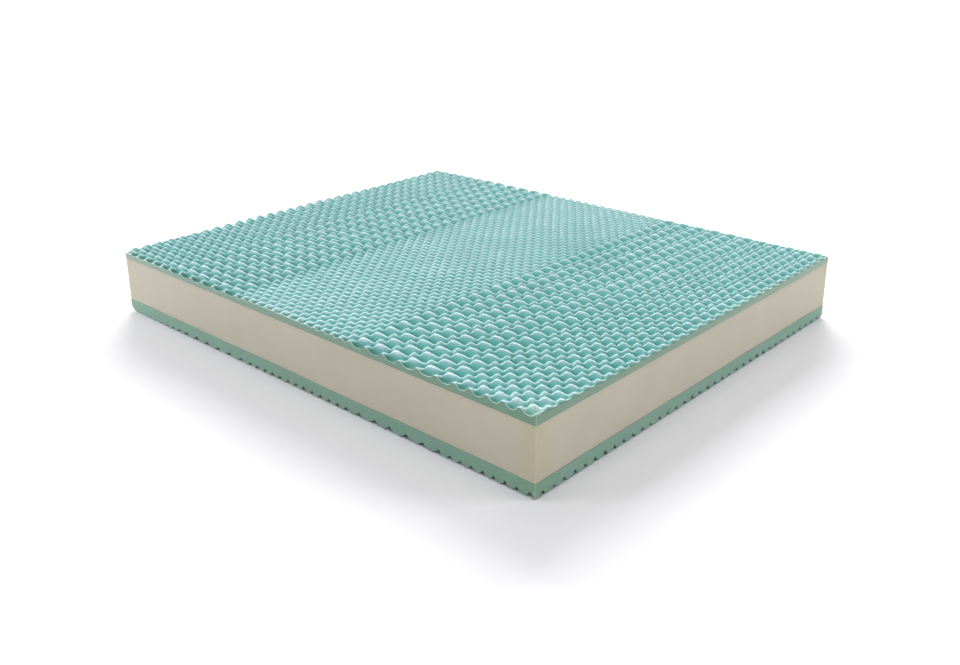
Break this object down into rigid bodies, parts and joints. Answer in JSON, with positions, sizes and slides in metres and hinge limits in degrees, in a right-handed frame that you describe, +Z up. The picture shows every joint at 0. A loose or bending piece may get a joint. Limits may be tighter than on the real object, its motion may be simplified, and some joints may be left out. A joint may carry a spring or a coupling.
{
  "type": "pocket spring mattress core",
  "caption": "Uncovered double-bed mattress core: cream foam-sided spring block between a wavy zoned foam layer on top and a notched foam base layer.",
  "frame": {"origin": "on the floor under the middle of the block, at the tips of the base layer's pads", "axes": "+X along the length, +Y across the width, +Z up out of the wavy top"},
  "size_m": [1.9, 1.6, 0.2374],
  "materials": {
    "teal_foam": "matt open-cell foam, pale teal, lighter on the crests",
    "cream_foam": "matt cut foam, cream",
    "green_foam": "matt cut foam, grey green"
  },
  "bodies": {
    "root": {"top_foam": "teal_foam", "core_foam": "cream_foam", "bottom_foam": "green_foam"}
  },
  "joints": []
}
